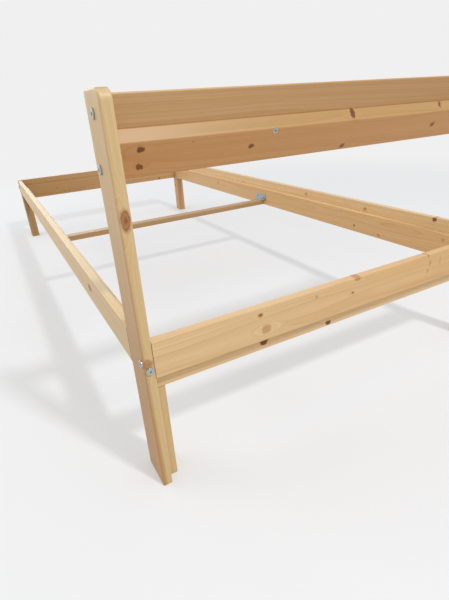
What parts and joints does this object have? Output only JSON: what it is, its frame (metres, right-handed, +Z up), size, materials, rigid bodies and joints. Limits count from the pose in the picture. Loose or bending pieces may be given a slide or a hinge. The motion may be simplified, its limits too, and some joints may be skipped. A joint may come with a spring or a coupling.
{
  "type": "low single bed frame",
  "caption": "Low single bed frame of clear pine boards with ledges for a slatted base, a cross bar and a low leaning headboard between two posts.",
  "frame": {"origin": "on the floor, under the middle of the frame", "axes": "+X across the bed, to the right as seen from behind the headboard; +Y along the bed from headboard to foot; +Z up"},
  "size_m": [0.945, 2.065, 0.653],
  "materials": {
    "pine": "planed, clear matt lacquer",
    "beech": "turned, raw",
    "zinc_plated_steel": "bright zinc plating"
  },
  "bodies": {
    "root": {"head_post_left": "pine", "head_post_right": "pine", "foot_leg_left": "pine", "foot_leg_right": "pine", "head_inner_leg_left": "pine", "head_inner_leg_right": "pine", "foot_inner_leg_left": "pine", "foot_inner_leg_right": "pine", "head_rail_outer_board": "pine", "head_rail_ledge_board": "pine", "foot_rail_outer_board": "pine", "foot_rail_ledge_board": "pine", "side_rail_outer_board_left": "pine", "side_rail_outer_board_right": "pine", "side_rail_ledge_board_left": "pine", "side_rail_ledge_board_right": "pine", "headboard_lower_board": "pine", "headboard_upper_board": "pine", "cross_bar": "pine", "end_rail_dowels": "beech", "side_rail_dowels": "beech", "cross_bar_bracket_left": "zinc_plated_steel", "cross_bar_bracket_right": "zinc_plated_steel", "headboard_bolts": "zinc_plated_steel", "headboard_joining_screw": "zinc_plated_steel", "end_rail_bolts": "zinc_plated_steel", "side_rail_bolts": "zinc_plated_steel", "end_rail_inserts": "zinc_plated_steel", "side_rail_inserts": "zinc_plated_steel", "leg_plank_screws": "zinc_plated_steel", "bracket_rail_screws": "zinc_plated_steel", "bracket_bar_screws": "zinc_plated_steel"}
  },
  "joints": []
}
